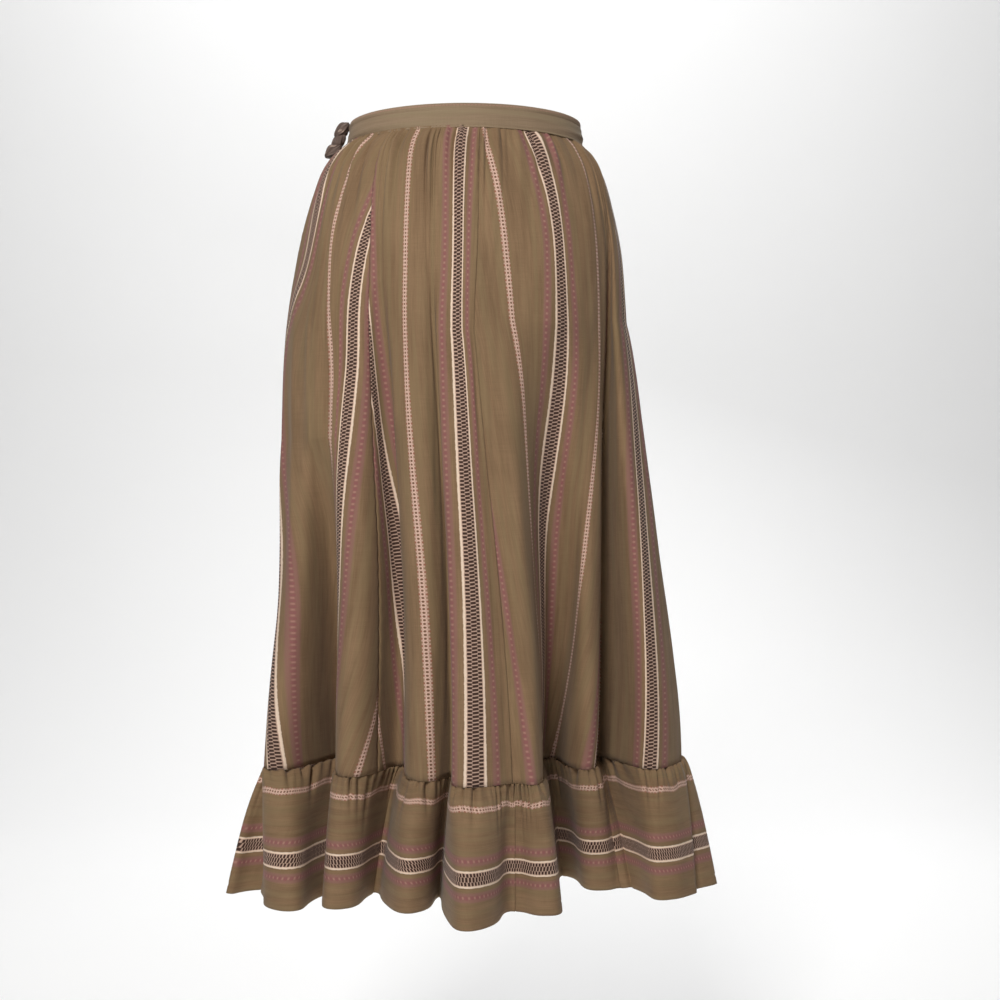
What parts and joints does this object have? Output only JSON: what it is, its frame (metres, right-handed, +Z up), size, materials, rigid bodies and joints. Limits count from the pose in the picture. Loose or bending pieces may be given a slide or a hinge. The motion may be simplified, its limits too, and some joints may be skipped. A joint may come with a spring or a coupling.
{
  "type": "midi skirt",
  "caption": "Gathered, gored cotton midi skirt with a plain waistband, woven lengthwise stripes and a deep gathered ruffle at the hem, hollow as worn.",
  "frame": {"origin": "centre of the waist opening, half way up the waistband", "axes": "+Z up out of the waist opening, +X to the viewer's right, -Y towards the viewer of the side that is shown"},
  "size_m": [0.5059, 0.3284, 0.7936],
  "materials": {
    "striped_cloth": "matt woven cotton, olive brown with woven lengthwise stripes in cream, dark brown and rose",
    "ruffle_cloth": "the same striped cotton, cut so that the stripes run round the hem",
    "band_cloth": "matt plain olive brown cotton",
    "tie_cloth": "matt olive brown cotton, knotted"
  },
  "bodies": {
    "root": {"gore_front_left": "striped_cloth", "gore_front_centre": "striped_cloth", "gore_front_right": "striped_cloth", "gore_side_right": "striped_cloth", "gore_back_right": "striped_cloth", "gore_back_left": "striped_cloth", "gore_side_left": "striped_cloth", "ruffle_front_left": "ruffle_cloth", "ruffle_front_right": "ruffle_cloth", "ruffle_side_right": "ruffle_cloth", "ruffle_back": "ruffle_cloth", "waistband_front": "band_cloth", "waistband_back": "band_cloth", "tie_upper_end": "tie_cloth", "tie_knot": "tie_cloth", "tie_lower_end": "tie_cloth"}
  },
  "joints": []
}
